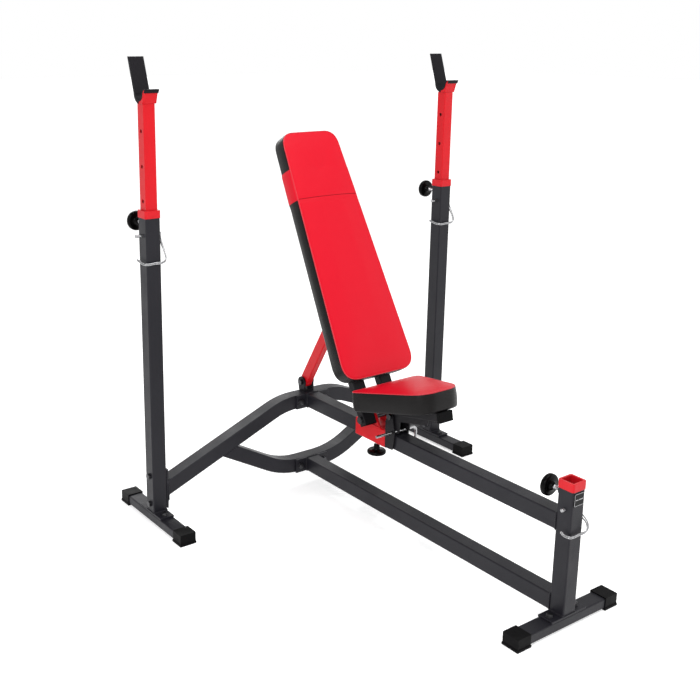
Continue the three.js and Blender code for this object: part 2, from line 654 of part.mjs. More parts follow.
// The strut stands on its foot pivot: origin there, +Z along it.
function strutTube() {
  const eyes = [0, STRUT_LENGTH].map((along) => bar(STRUT.depth, STRUT.width, 'x', [0, 0, along], 24));
  const tube = squareTube(STRUT.width, STRUT.depth, STRUT_LENGTH - 20).translate(0, 0, 10);
  const vent = bar(8, 20, 'y', [0, STRUT.depth / 2, 60], 10);
  const holes = [0, STRUT_LENGTH].map((along) => bar(STRUT.bolt + 0.8, 60, 'x', [0, 0, along]));
  return cut(join(tube, ...eyes), vent, ...holes);
}

function addStrut() {
  const strut = new THREE.Group();
  strut.position.set(0, STRUT_FOOT.y, STRUT_FOOT.z);
  strut.rotation.x = rad(90 - STRUT_ANGLE);
  bench.add(strut);
  piece('backrest_strut', strutTube(), redCoat, strut);
}

// In the backrest's own frame: origin at its lower pivot, +Z up the rails, -Y to the pad's face.
const backrest = new THREE.Group();
backrest.position.set(0, BACK_PIVOT.y, BACK_PIVOT.z);
backrest.rotation.x = -rad(90 - BACK_ANGLE);

const strutHead = (() => {
  const away = rad(STRUT_ANGLE - BACK_ANGLE);
  return { y: -STRUT_LENGTH * Math.sin(away), z: STRUT_LENGTH * Math.cos(away) };
})();

function backrestRail() {
  const { width, depth, below, above } = BACK_RAIL;
  const tube = squareTube(width, depth, below + above).translate(0, 0, -below);
  return cut(tube, bar(14.8, 100, 'x', [0, 0, 0]));
}

// The fork behind the board that holds the strut's head.
function strutHeadBracket() {
  const back = -BACK_RAIL.depth / 2 + GAP;
  const inner = STRUT.width / 2 + 1.5;
  const base = box([-30, back, strutHead.z - 42], [30, back + 4, strutHead.z + 42]);
  const ear = new THREE.Shape();
  ear.moveTo(back + 2, strutHead.z - 34);
  ear.lineTo(strutHead.y + 6, strutHead.z - 12);
  ear.absarc(strutHead.y, strutHead.z, 15, -0.9, 0.9);
  ear.lineTo(back + 2, strutHead.z + 34);
  const ears = [-1, 1].map((side) => {
    const xs = [side * inner, side * (inner + 5)].sort((a, b) => a - b);
    return plateAcrossX(ear, ...xs);
  });
  return cut(join(base, ...ears), bar(STRUT.bolt + 0.8, 80, 'x', [0, strutHead.y, strutHead.z]));
}

function crossBar(along) {
  const half = BACK_RAIL.centreX - BACK_RAIL.width / 2 - GAP;
  return alongX(squareTube(25, 25, 2 * half, 2, 3)).translate(-half, 0, along);
}

// A cushion layer between two depths in front of the rails.
function backLayer(nearRails, thickness, inset) {
  const { start, length, bottomWidth, topWidth, bottomCorner, topCorner } = BACK_PAD;
  const outline = taperedOutline(start + inset, bottomWidth - 2 * inset, bottomCorner,
    start + length - inset, topWidth - 2 * inset, topCorner);
  return extrude(outline, thickness, 6).rotateX(HALF_PI).translate(0, nearRails, 0);
}

function addBackrest() {
  bench.add(backrest);
  for (const [side, x] of [['left', -BACK_RAIL.centreX], ['right', BACK_RAIL.centreX]]) {
    piece(`backrest_rail_${side}`, backrestRail(), blackCoat, backrest).position.x = x;
  }
  piece('backrest_crossbar_lower', crossBar(300), blackCoat, backrest);
  piece('backrest_crossbar_upper', crossBar(650), blackCoat, backrest);
  piece('strut_head_bracket', strutHeadBracket(), blackCoat, backrest);
  const boardFace = -BACK_RAIL.depth / 2 - GAP;
  piece('back_board', backLayer(boardFace, BACK_PAD.board, 6), boardBlack, backrest);
  piece('back_pad', backLayer(boardFace - BACK_PAD.board - GAP, BACK_PAD.foam, 0), redVinyl, backrest);
  const reach = STRUT.width / 2 + 1.5 + 5 + GAP;
  piece('strut_head_bolt', boltAlongX(STRUT.bolt, -reach, reach, strutHead.y, strutHead.z), zinc, backrest);
}

// ---------------------------------------------------------------- the bench

addFoot('left', -UPRIGHT_X, 0, 0, ['rear', 'front']);
addFoot('right', UPRIGHT_X, 0, 0, ['rear', 'front']);
addFoot('front', 0, FRONT_POST_Y, -HALF_PI, ['right', 'left']);
addUpright('left', -UPRIGHT_X);
addUpright('right', UPRIGHT_X);
addFrontPost();
piece('cross_arch', crossArch(), greyCoat);
piece('cross_brace', crossBrace(), greyCoat);
piece('upper_rail', rail(UPPER_RAIL_Z), greyCoat);
piece('lower_rail', rail(LOWER_RAIL_Z), greyCoat);
addArchBolts();
piece('strut_clevis', strutClevis(), blackCoat);
const clevisReach = STRUT.width / 2 + 1.5 + 6 + GAP;
piece('strut_foot_bolt', boltAlongX(STRUT.bolt, -clevisReach, clevisReach, STRUT_FOOT.y, STRUT_FOOT.z), zinc);
addStrut();
addCarriage();
addSeat();
addBackrest();

export default bench;
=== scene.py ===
"""Olympic bench press: the looks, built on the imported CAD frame. Metres, +Z up, -Y towards the foot end."""

import json
import math
import random

import bmesh
import bpy
from mathutils import Matrix, Vector, noise
from mathutils.bvhtree import BVHTree


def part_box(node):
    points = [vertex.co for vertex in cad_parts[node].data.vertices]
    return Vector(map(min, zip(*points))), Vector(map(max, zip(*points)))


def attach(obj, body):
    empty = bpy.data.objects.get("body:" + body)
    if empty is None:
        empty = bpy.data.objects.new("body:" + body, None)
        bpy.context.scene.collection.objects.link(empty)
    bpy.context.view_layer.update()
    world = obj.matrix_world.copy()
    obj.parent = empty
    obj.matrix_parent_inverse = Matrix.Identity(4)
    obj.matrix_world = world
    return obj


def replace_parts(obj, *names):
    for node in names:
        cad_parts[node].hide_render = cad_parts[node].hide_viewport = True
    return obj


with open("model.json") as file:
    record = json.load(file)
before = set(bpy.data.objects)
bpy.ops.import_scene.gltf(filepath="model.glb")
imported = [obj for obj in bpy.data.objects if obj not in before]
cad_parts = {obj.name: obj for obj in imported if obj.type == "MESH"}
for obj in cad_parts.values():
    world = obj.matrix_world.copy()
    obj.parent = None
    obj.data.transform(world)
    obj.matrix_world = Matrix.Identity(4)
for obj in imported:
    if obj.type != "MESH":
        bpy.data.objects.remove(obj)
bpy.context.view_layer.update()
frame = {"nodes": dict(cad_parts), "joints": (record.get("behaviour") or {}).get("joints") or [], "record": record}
NODES = frame["nodes"]
random.seed(7)

# ------------------------------------------------------------------ places taken from the frame

JOINTS = {joint["name"]: joint for joint in frame["joints"]}
BACK_PIVOT = Vector(JOINTS["carriage_level"]["pos_m"])
SEAT_PIVOT = Vector(JOINTS["seat_tilt"]["pos_m"])
BACK_LEAN = math.radians(29)
SEAT_TILT = math.radians(11.6)
BACK = Matrix.Translation(BACK_PIVOT) @ Matrix.Rotation(-BACK_LEAN, 4, "X")
SEAT = Matrix.Translation(SEAT_PIVOT) @ Matrix.Rotation(-SEAT_TILT, 4, "X")


def middle(node):
    low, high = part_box(node)
    return (Vector(low) + Vector(high)) / 2


UPRIGHT_Y = JOINTS["left_pin_bail"]["pos_m"][1]
FRONT_Y = JOINTS["front_pin_bail"]["pos_m"][1]

# ------------------------------------------------------------------ sizes shared by the fittings

SIDES = (("left", -0.62), ("right", 0.62))  # the uprights' X
FLANGE_TOP = 0.0413
FLANGE_BOLT_REACH = 0.052  # from the middle of a post or a rail to its flange bolts
RAIL_HEIGHTS = (0.3085, 0.065)  # the two rails' centrelines
WELD_REACH = 0.0255  # half of the main tube, and half a millimetre
UPRIGHT_PIN = {"z": 0.970, "drop": 0.084, "hook": 0.018, "shaft_from": 0.0212, "tip": 0.0240}
FRONT_PIN = {"z": 0.352, "drop": 0.067, "hook": -0.004, "shaft_from": -0.037, "tip": None}
UPRIGHT_KNOB_Z = 1.003
FRONT_KNOB_Z = 0.390
KNOB_RADIUS = 0.0315
KNOB_DEPTH = 0.020
WIRE_RADIUS = 0.0020
BACK_RAIL_X = 0.056
BACK_RAIL_ENDS = ((0.800, 1), (-0.018, -1))  # along the backrest, and the way each end faces
BACK_PAD = {"start": 0.1236, "length": 0.859, "low_width": 0.302, "top_width": 0.231, "low_corner": 0.062,
            "top_corner": 0.052, "height": 0.0560, "shoulder": 0.0062, "crown": 0.0022, "bulge": 0.0008}
SEAT_PAD = {"rear": 0.053, "front": -0.222, "rear_width": 0.297, "front_width": 0.160, "rear_corner": 0.030,
            "front_corner": 0.058, "height": 0.0646, "shoulder": 0.0048, "crown": 0.0030, "bulge": 0.0016}
HEADREST_SEAM = 0.745
HEADREST_BAND = (0.741, 0.850)


# ------------------------------------------------------------------ shader building

class Shader:
    """A material with a Principled shader and short calls for its nodes."""

    def __init__(self, name, **values):
        self.material = bpy.data.materials.new(name)
        self.material.use_nodes = True
        self.tree = self.material.node_tree
        self.bsdf = next(node for node in self.tree.nodes if node.type == "BSDF_PRINCIPLED")
        for key, value in values.items():
            self.bsdf.inputs[key.replace("_", " ")].default_value = value
        self.place = self.tree.nodes.new("ShaderNodeTexCoord").outputs["Object"]

    def node(self, kind, **inputs):
        node = self.tree.nodes.new(kind)
        for key, value in inputs.items():
            self.put(node.inputs[key.replace("_", " ")], value)
        return node

    def put(self, socket, value):
        if isinstance(value, bpy.types.NodeSocket):
            self.tree.links.new(value, socket)
        else:
            socket.default_value = value

    def noise(self, scale, detail=2.0, roughness=0.5, stretch=None):
        place = self.place
        if stretch:
            mapping = self.node("ShaderNodeMapping", Vector=place, Scale=stretch)
            place = mapping.outputs["Vector"]
        node = self.node("ShaderNodeTexNoise", Vector=place, Scale=scale, Detail=detail, Roughness=roughness)
        return node.outputs["Fac"]

    def cells(self, scale, randomness=1.0):
        node = self.node("ShaderNodeTexVoronoi", Vector=self.place, Scale=scale, Randomness=randomness)
        node.feature = "DISTANCE_TO_EDGE"
        return node.outputs["Distance"]

    def spread(self, value, low, high, start=0.0, end=1.0):
        node = self.node("ShaderNodeMapRange", Value=value)
        for index, number in ((1, start), (2, end), (3, low), (4, high)):
            node.inputs[index].default_value = number
        return node.outputs["Result"]

    def math(self, operation, first, second):
        node = self.tree.nodes.new("ShaderNodeMath")
        node.operation = operation
        self.put(node.inputs[0], first)
        self.put(node.inputs[1], second)
        return node.outputs[0]

    def mix(self, factor, first, second):
        node = self.tree.nodes.new("ShaderNodeMix")
        node.data_type = "RGBA"
        self.put(node.inputs[0], factor)
        self.put(node.inputs[6], first)
        self.put(node.inputs[7], second)
        return node.outputs[2]

    def edges(self, radius):
        """A rounded normal, and a mask that is high only along hard edges."""
        bevel = self.node("ShaderNodeBevel", Radius=radius)
        bevel.samples = 4
        sharp = self.tree.nodes.new("ShaderNodeNewGeometry").outputs["Normal"]
        dot = self.tree.nodes.new("ShaderNodeVectorMath")
        dot.operation = "DOT_PRODUCT"
        self.put(dot.inputs[0], bevel.outputs["Normal"])
        self.put(dot.inputs[1], sharp)
        mask = self.spread(dot.outputs["Value"], 1.0, 0.0, 0.72, 0.98)
        return bevel.outputs["Normal"], mask

    def bump(self, height, distance, strength=1.0, normal=None):
        node = self.node("ShaderNodeBump", Height=height, Distance=distance, Strength=strength)
        if normal is not None:
            self.put(node.inputs["Normal"], normal)
        return node.outputs["Normal"]

    def finish(self, colour=None, roughness=None, normal=None):
        if colour is not None:
            self.put(self.bsdf.inputs["Base Color"], colour)
        if roughness is not None:
            self.put(self.bsdf.inputs["Roughness"], roughness)
        if normal is not None:
            self.put(self.bsdf.inputs["Normal"], normal)
        return self.material


def shade(colour, factor):
    return tuple(min(1.0, channel * factor) for channel in colour[:3]) + (1.0,)


def coated_metal(name, colour, roughness, edge_wear_and_highlight, shine, peel=0.00016):
    """Powder coat: a fine orange peel, faint clouding, and edges painted a little lighter, as rubbed wear and as a
    painted highlight.
    """
    shader = Shader(name, Metallic=0.0, Specular_IOR_Level=shine)
    rounded, edge = shader.edges(0.0012)
    clouds = shader.spread(shader.noise(5.0, 3.0), 0.0, 1.0, 0.3, 0.7)
    base = shader.mix(clouds, shade(colour, 0.92), shade(colour, 1.08))
    # Edges painted lighter: partly rubbed wear, partly a painted highlight where an edge catches the light.
    scuffs_and_highlight = shader.math("MULTIPLY", edge, shader.spread(shader.noise(90.0, 4.0), 0.25, 1.0, 0.35, 0.65))
    base = shader.mix(scuffs_and_highlight, base, shade(colour, edge_wear_and_highlight))
    rough = shader.spread(shader.noise(14.0, 3.0), roughness - 0.05, roughness + 0.07, 0.3, 0.7)
    peel_height = shader.math("ADD", shader.noise(520.0, 2.0), shader.noise(1300.0, 1.0))
    return shader.finish(base, rough, shader.bump(peel_height, peel, 0.7, rounded))


def zinc_metal(name, colour=(0.40, 0.40, 0.41), roughness=0.24):
    shader = Shader(name, Metallic=1.0)
    rounded, _ = shader.edges(0.0006)
    patches = shader.spread(shader.cells(260.0), 0.0, 1.0, 0.0, 0.5)
    base = shader.mix(patches, shade(colour, 0.86), shade(colour, 1.06))
    rough = shader.spread(shader.noise(160.0, 4.0, 0.6), roughness - 0.08, roughness + 0.12, 0.3, 0.7)
    fine = shader.noise(900.0, 3.0, 0.6)
    return shader.finish(base, rough, shader.bump(fine, 0.00006, 0.5, rounded))


def moulded_plastic(name, colour, roughness, grain=0.00012, edge_highlight_and_wear=1.6, shine=0.10):
    """Injection moulded plastic with a spark-eroded grain."""
    shader = Shader(name, Specular_IOR_Level=shine)
    rounded, edge = shader.edges(0.0014)
    clouds = shader.spread(shader.noise(9.0, 3.0), 0.0, 1.0, 0.3, 0.7)
    base = shader.mix(clouds, shade(colour, 0.9), shade(colour, 1.12))
    # Edges painted lighter: partly wear, partly a painted highlight along the edges.
    base = shader.mix(shader.math("MULTIPLY", edge, 0.5), base, shade(colour, edge_highlight_and_wear))
    rough = shader.spread(shader.noise(40.0, 3.0), roughness - 0.06, roughness + 0.08, 0.3, 0.7)
    texture = shader.math("ADD", shader.noise(1500.0, 2.0), shader.math("MULTIPLY", shader.cells(900.0), 0.6))
    return shader.finish(base, rough, shader.bump(texture, grain, 0.6, rounded))


def vinyl(name, colour, roughness, shine):
    """Upholstery vinyl: an embossed pebble grain, soft creasing and a low gloss."""
    shader = Shader(name, Specular_IOR_Level=shine)
    pebble = shader.spread(shader.cells(620.0), 0.0, 1.0, 0.0, 0.28)
    fine = shader.noise(1800.0, 2.0)
    crease = shader.spread(shader.noise(34.0, 5.0, 0.62), 0.0, 1.0, 0.38, 0.62)
    clouds = shader.spread(shader.noise(6.0, 3.0), 0.0, 1.0, 0.3, 0.7)
    base = shader.mix(clouds, shade(colour, 0.94), shade(colour, 1.05))
    base = shader.mix(shader.math("MULTIPLY", pebble, 0.35), shade(colour, 0.82), base)
    rough = shader.spread(pebble, roughness + 0.10, roughness - 0.04)
    height = shader.math("ADD", shader.math("MULTIPLY", pebble, 0.7), shader.math("MULTIPLY", fine, 0.3))
    grain = shader.bump(height, 0.00018, 0.55)
    return shader.finish(base, rough, shader.bump(crease, 0.0007, 0.25, grain))


def woven_backing(name, colour):
    """The pressed black fabric under a seat or behind a backrest."""
    shader = Shader(name, Roughness=0.92, Sheen_Weight=0.25)
    warp = shader.noise(700.0, 4.0, 0.7, (1.0, 4.0, 1.0))
    weft = shader.noise(700.0, 4.0, 0.7, (4.0, 1.0, 1.0))
    fibre = shader.math("ADD", warp, weft)
    base = shader.mix(shader.spread(fibre, 0.0, 1.0, 0.6, 1.4), shade(colour, 0.6), shade(colour, 1.6))
    return shader.finish(base, None, shader.bump(fibre, 0.0003, 0.7))


def weld_metal(name, colour):
    shader = Shader(name, Metallic=0.0, Specular_IOR_Level=0.25)
    clouds = shader.noise(60.0, 3.0)
    base = shader.mix(clouds, shade(colour, 0.8), shade(colour, 1.15))
    rough = shader.spread(clouds, 0.36, 0.55)
    return shader.finish(base, rough, shader.bump(shader.noise(900.0, 2.0), 0.0002, 0.6))


GREY = (0.0112, 0.0108, 0.0145)
BLACK = (0.0080, 0.0073, 0.0090)
RED = (0.52, 0.0035, 0.0090)
VINYL_RED = (0.66, 0.0035, 0.0180)
# On the grey frame the edges are painted much lighter, mostly as a painted highlight along the edges, with some
# rubbed wear.
frame_coat = coated_metal("frame_powder_coat", GREY, 0.40, 5.5, 0.20)
black_coat = coated_metal("black_powder_coat", BLACK, 0.42, 3.0, 0.15)
red_coat = coated_metal("red_powder_coat", RED, 0.34, 1.2, 0.20)
zinc = zinc_metal("zinc_plate")
dark_zinc = zinc_metal("dark_zinc_plate", (0.075, 0.075, 0.080), 0.36)
black_plastic = moulded_plastic("black_moulded_plastic", (0.0020, 0.0019, 0.0022), 0.44, shine=0.055)
guard_plastic = moulded_plastic("black_guard_plastic", (0.0080, 0.0072, 0.0092), 0.50, shine=0.10)
gloss_black = moulded_plastic("black_gloss_plastic", (0.0008, 0.0008, 0.0009), 0.24, 0.00004, shine=0.075)
red_plastic = moulded_plastic("red_moulded_plastic", (0.52, 0.0070, 0.0130), 0.36, 0.00008, 1.2, 0.20)
red_vinyl = vinyl("red_vinyl", VINYL_RED, 0.36, 0.15)
# The welt's red is lighter and pinker than the face: a painted sheen along the piping.
red_welt = vinyl("red_welt", (0.62, 0.016, 0.032), 0.30, 0.45)
# A dark red for the turned edge in the headrest groove: a painted shadow along the groove.
seam_shadow = vinyl("red_seam", (0.17, 0.0015, 0.0050), 0.60, 0.10)
black_vinyl = vinyl("black_vinyl", (0.0048, 0.0040, 0.0040), 0.27, 0.17)
backing = woven_backing("black_backing", (0.012, 0.0115, 0.0115))
board_paint = moulded_plastic("board_paint", (0.012, 0.0115, 0.011), 0.7, 0.00025)
label_film = moulded_plastic("label_film", (0.006, 0.006, 0.0065), 0.30, 0.00003)
grey_weld = weld_metal("grey_weld", GREY)
red_weld = weld_metal("red_weld", RED)
BY_SLOT = {
    "frame_coat": frame_coat, "red_coat": red_coat, "black_coat": black_coat, "zinc": zinc,
    "black_plastic": black_plastic, "red_plastic": red_plastic, "red_vinyl": red_vinyl, "board": board_paint,
    "label": label_film,
}


# ------------------------------------------------------------------ CAD nodes

def soften(obj, width, segments=2):
    """Rounds a CAD piece's hard edges a little, as a moulding or a bent sheet has them."""
    bevel = obj.modifiers.new("soft_edges", "BEVEL")
    bevel.width = width
    bevel.segments = segments
    bevel.limit_method = "ANGLE"
    bevel.angle_limit = math.radians(50)
    bevel.use_clamp_overlap = True


# The two pivot bolts are given the dark zinc as painted shade, for the shade round the carriage under the seat.
DARKENED_BOLTS = ("left_arch_bolt_upper", "left_arch_bolt_lower", "right_arch_bolt_upper", "right_arch_bolt_lower",
             "strut_foot_bolt", "strut_head_bolt", "backrest_pivot_bolt", "seat_pivot_bolt")


def dress_frame():
    slots = {part["node"]: part["material_slot"] for part in frame["record"]["subparts"]}
    for name, obj in NODES.items():
        obj.data.materials.clear()
        obj.data.materials.append(BY_SLOT[slots[name]])
        if "foot_cap" in name or name == "seat_beam_plug":
            soften(obj, 0.0022, 3)
        if name in DARKENED_BOLTS:
            obj.data.materials[0] = dark_zinc
        if name.endswith("catch_guard"):
            obj.data.materials[0] = guard_plastic


# ------------------------------------------------------------------ mesh helpers

def make_object(name, vertices, faces, material, body):
    """A piece that rides on a body, with its doubled points joined and its faces outward."""
    mesh = bpy.data.meshes.new(name)
    mesh.from_pydata([tuple(v) for v in vertices], [], faces)
    mesh.materials.append(material)
    mesh.validate()
    obj = bpy.data.objects.new(name, mesh)
    bpy.context.scene.collection.objects.link(obj)
    work = bmesh.new()
    work.from_mesh(mesh)
    bmesh.ops.remove_doubles(work, verts=work.verts, dist=1e-6)
    bmesh.ops.recalc_face_normals(work, faces=work.faces)
    work.to_mesh(mesh)
    work.free()
    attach(obj, body)
    return obj


def smooth_below(obj, degrees):
    """Smooth shading that keeps edges sharper than the angle."""
    obj.data.shade_smooth()
    work = bmesh.new()
    work.from_mesh(obj.data)
    limit = math.radians(degrees)
    for edge in work.edges:
        edge.smooth = len(edge.link_faces) == 2 and edge.calc_face_angle(0) < limit
    work.to_mesh(obj.data)
    work.free()


class Solids:
    """Collects closed solids into one piece."""

    def __init__(self):
        self.vertices = []
        self.faces = []

    def add(self, vertices, faces, matrix=Matrix.Identity(4)):
        start = len(self.vertices)
        self.vertices += [matrix @ Vector(v) for v in vertices]
        self.faces += [[start + index for index in face] for face in faces]

    def lathe(self, profile, matrix, sides=48):
        """A profile of (radius, height) pairs turned about Z. It starts and ends on the axis."""
        rings = [(r, z) for r, z in profile if r > 1e-9]
        vertices = []
        for r, z in rings:
            for step in range(sides):
                turn = 2 * math.pi * step / sides
                vertices.append((r * math.cos(turn), r * math.sin(turn), z))
        faces = []
        for ring in range(len(rings) - 1):
            for step in range(sides):
                after = (step + 1) % sides
                low = ring * sides
                faces.append([low + step, low + after, low + sides + after, low + sides + step])
        faces.append(list(range(sides))[::-1])
        last = (len(rings) - 1) * sides
        faces.append([last + step for step in range(sides)])
        self.add(vertices, faces, matrix)

    def prism(self, outline, low, high, matrix, ease=0.0):
        """An outline in X-Y raised from low to high, with its top edge eased."""
        count = len(outline)
        cx = sum(p[0] for p in outline) / count
        cy = sum(p[1] for p in outline) / count
        layers = [(low, 0.0), (high - ease, 0.0)]
        if ease > 0:
            layers += [(high - ease * 0.3, ease * 0.3), (high, ease)]
        vertices = []
        for z, inset in layers:
            for x, y in outline:
                reach = math.hypot(x - cx, y - cy)
                keep = (reach - inset) / reach
                vertices.append((cx + (x - cx) * keep, cy + (y - cy) * keep, z))
        faces = [list(range(count))[::-1]]
        for layer in range(len(layers) - 1):
            base = layer * count
            for step in range(count):
                after = (step + 1) % count
                faces.append([base + step, base + after, base + count + after, base + count + step])
        faces.append([(len(layers) - 1) * count + step for step in range(count)])
        self.add(vertices, faces, matrix)

    def tube(self, path, radius, sides=12, closed=False, ripple=None):
        """A round bar along points. ripple(i) scales its radius there."""
        points = [Vector(p) for p in path]
        count = len(points)
        normal = None
        vertices = []
        for index, point in enumerate(points):
            if closed:
                ahead = points[(index + 1) % count] - points[index - 1]
            else:
                ahead = points[min(index + 1, count - 1)] - points[max(index - 1, 0)]
            ahead.normalize()
            if normal is None:
                normal = ahead.orthogonal().normalized()
            normal = (normal - ahead * normal.dot(ahead)).normalized()
            across = ahead.cross(normal)
            size = radius * (ripple(index) if ripple else 1.0)
            for step in range(sides):
                turn = 2 * math.pi * step / sides
                vertices.append(point + (normal * math.cos(turn) + across * math.sin(turn)) * size)
        faces = []
        for ring in range(count if closed else count - 1):
            following = (ring + 1) % count
            for step in range(sides):
                after = (step + 1) % sides
                faces.append([ring * sides + step, ring * sides + after,
                              following * sides + after, following * sides + step])
        if not closed:
            faces.append(list(range(sides))[::-1])
            faces.append([(count - 1) * sides + step for step in range(sides)])
        self.add(vertices, faces)

    def piece(self, name, material, body, sharp):
        obj = make_object(name, self.vertices, self.faces, material, body)
        smooth_below(obj, sharp)
        return obj


def facing(direction, at):
    """A matrix that turns +Z to a direction, at a point."""
    turn = Vector((0, 0, 1)).rotation_difference(Vector(direction).normalized())
    return Matrix.Translation(Vector(at)) @ turn.to_matrix().to_4x4()


def polygon(count, radius, turn):
    angles = [turn + 2 * math.pi * index / count for index in range(count)]
    return [(radius * math.cos(angle), radius * math.sin(angle)) for angle in angles]


def rounded_box_outline(width, height, radius, steps=5):
    points = []
    for sx, sy, start in ((1, 1, 0), (-1, 1, 90), (-1, -1, 180), (1, -1, 270)):
        cx = sx * (width / 2 - radius)
        cy = sy * (height / 2 - radius)
        for step in range(steps + 1):
            turn = math.radians(start + 90 * step / steps)
            points.append((cx + radius * math.cos(turn), cy + radius * math.sin(turn)))
    return points


def smooth_path(points, per_span):
    """A Catmull-Rom curve through points."""
    points = [Vector(p) for p in points]
    last = len(points) - 1
    result = []
    for index in range(last):
        a, b, c, d = (points[min(max(index + k, 0), last)] for k in (-1, 0, 1, 2))
        for step in range(per_span):
            t = step / per_span
            result.append(0.5 * ((2 * b) + (c - a) * t + (2 * a - 5 * b + 4 * c - d) * t * t
                                 + (3 * b - 3 * c + d - a) * t * t * t))
    result.append(points[-1])
    return result


# ------------------------------------------------------------------ fasteners and welds

def hex_bolt(solids, at, direction, across=0.017, height=0.0065, washer=0.010):
    """A washer and a chamfered hexagon head standing on a face."""
    place = facing(direction, at)
    solids.lathe([(0, 0), (washer, 0), (washer, 0.0013), (washer - 0.0004, 0.0017), (0, 0.0017)], place, 24)
    hexagon = polygon(6, across / 2 / math.cos(math.pi / 6), random.uniform(0, math.pi / 3))
    solids.prism(hexagon, 0.0016, 0.0016 + height, place, 0.0009)
    solids.lathe([(0, 0.0016 + height), (across * 0.36, 0.0016 + height), (across * 0.33, 0.0020 + height),
                  (0, 0.0020 + height)], place, 18)


def weld_bead(solids, points, radius=0.0028, closed=False):
    """A rippled weld bead along points."""
    dense = []
    points = [Vector(p) for p in points]
    pairs = list(zip(points, points[1:] + points[:1])) if closed else list(zip(points, points[1:]))
    for start, end in pairs:
        steps = max(1, round((end - start).length / 0.0022))
        dense += [start.lerp(end, step / steps) for step in range(steps)]
    if not closed:
        dense.append(points[-1])
    shape = [0.86 + 0.16 * math.sin(index * 2.1) + random.uniform(-0.04, 0.04) for index in range(len(dense))]
    solids.tube(dense, radius, 6, closed, lambda index: shape[index])


def square_loop(centre):
    """A loop in the X-Y plane round the main tube, where a weld lies."""
    outline = rounded_box_outline(2 * WELD_REACH, 2 * WELD_REACH, 0.004, 3)
    return [Vector(centre) + Vector((x, y, 0)) for x, y in outline]


def add_base_bolts():
    solids = Solids()
    for _, x in SIDES:
        for side in (-1, 1):
            hex_bolt(solids, (x, UPRIGHT_Y + side * FLANGE_BOLT_REACH, FLANGE_TOP), (0, 0, 1))
    for side in (-1, 1):
        hex_bolt(solids, (side * FLANGE_BOLT_REACH, FRONT_Y, FLANGE_TOP), (0, 0, 1))
    flange_front = UPRIGHT_Y - 0.0313
    arch_rear = UPRIGHT_Y + 0.0253
    for z in RAIL_HEIGHTS:
        for side in (-1, 1):
            hex_bolt(solids, (side * FLANGE_BOLT_REACH, flange_front, z), (0, -1, 0))
            hex_bolt(solids, (side * FLANGE_BOLT_REACH, arch_rear, z), (0, 1, 0))
    solids.piece("flange_bolts", dark_zinc, "frame", 30)


def add_welds():
    solids = Solids()
    posts = [(x, UPRIGHT_Y) for _, x in SIDES] + [(0, FRONT_Y)]
    for x, y in posts:
        weld_bead(solids, square_loop((x, y, 0.0420)), closed=True)
    rear = UPRIGHT_Y - 0.0322
    front = FRONT_Y + 0.0258
    for z in RAIL_HEIGHTS:
        for y in (rear, front):
            loop = [(p.x, y, z + p.y) for p in square_loop((0, 0, 0))]
            weld_bead(solids, loop, closed=True)
    for side in (-1, 1):
        x = side * 0.5880
        legs = [(x, UPRIGHT_Y + dy, z) for dy, z in
                ((-0.026, 0.078), (-0.026, 0.130), (0.026, 0.130), (0.026, 0.078))]
        weld_bead(solids, legs, closed=True)
    solids.piece("frame_welds", grey_weld, "frame", 80)
    ears = Solids()
    for side in (-1, 1):
        x = side * 0.0312
        weld_bead(ears, [(x, BACK_PIVOT.y - 0.034, 0.3392), (x, BACK_PIVOT.y + 0.028, 0.3392)], 0.0022)
    ears.piece("carriage_welds", red_weld, "carriage", 80)


# ------------------------------------------------------------------ knobs, pins and the seat rod

def knob_piece(name, node, axis, tip, face, deep=KNOB_DEPTH, hub=0.008):
    """A round clamping knob: a glossy disc, whose front is face from the tip of its threaded stem."""
    place = facing(axis, tip)
    stem = Solids()
    profile = [(0, 0.0), (0.0046, 0.0), (0.0058, 0.0014)]
    along = 0.003
    while along < face - 0.012:
        profile += [(0.0058, along), (0.0050, along + 0.0009)]
        along += 0.0018
    profile += [(0.0062, face - 0.0115), (0.0062, face - 0.001), (0, face - 0.001)]
    stem.lathe(profile, place, 24)
    stem.piece(name + "_stem", zinc, node, 60)
    disc = Solids()
    radius = KNOB_RADIUS
    start = face - hub
    back = face + deep
    outer = [(0, start), (0.0085, start), (0.0095, start + 0.0015), (0.0110, face - 0.005),
             (0.0125, face - 0.001), (0.0150, face + 0.0010), (0.0252, face + 0.0014),
             (0.0290, face + 0.0024), (0.0308, face + 0.0042), (radius, face + 0.0066),
             (radius, back - 0.0066), (0.0309, back - 0.0042), (0.0292, back - 0.0022),
             (0.0266, back - 0.0008), (0.0220, back - 0.0002), (0.0150, back - 0.0006),
             (0.0125, back - 0.0016), (0.0115, back - 0.0018), (0.0105, back - 0.0008),
             (0.0060, back - 0.0001), (0.0008, back), (0, back)]
    disc.lathe(outer, place, 64)
    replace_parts(disc.piece(name + "_disc", gloss_black, node, 50), node)


def add_knobs():
    for side, x in SIDES:
        low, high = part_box(side + "_knob")
        tip = Vector((x, low[1], UPRIGHT_KNOB_Z))
        knob_piece(side + "_clamp", side + "_knob", (0, 1, 0), tip, high[1] - low[1] - KNOB_DEPTH)
    low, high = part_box("front_knob")
    tip = Vector((0, low[1], FRONT_KNOB_Z))
    knob_piece("front_clamp", "front_knob", (0, 1, 0), tip, high[1] - low[1] - KNOB_DEPTH)
    low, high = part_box("carriage_knob")
    thin = 0.016
    tip = Vector((0, middle("carriage_knob").y, high[2]))
    knob_piece("carriage_clamp", "carriage_knob", (0, 0, -1), tip, high[2] - low[2] - thin, thin, 0.018)


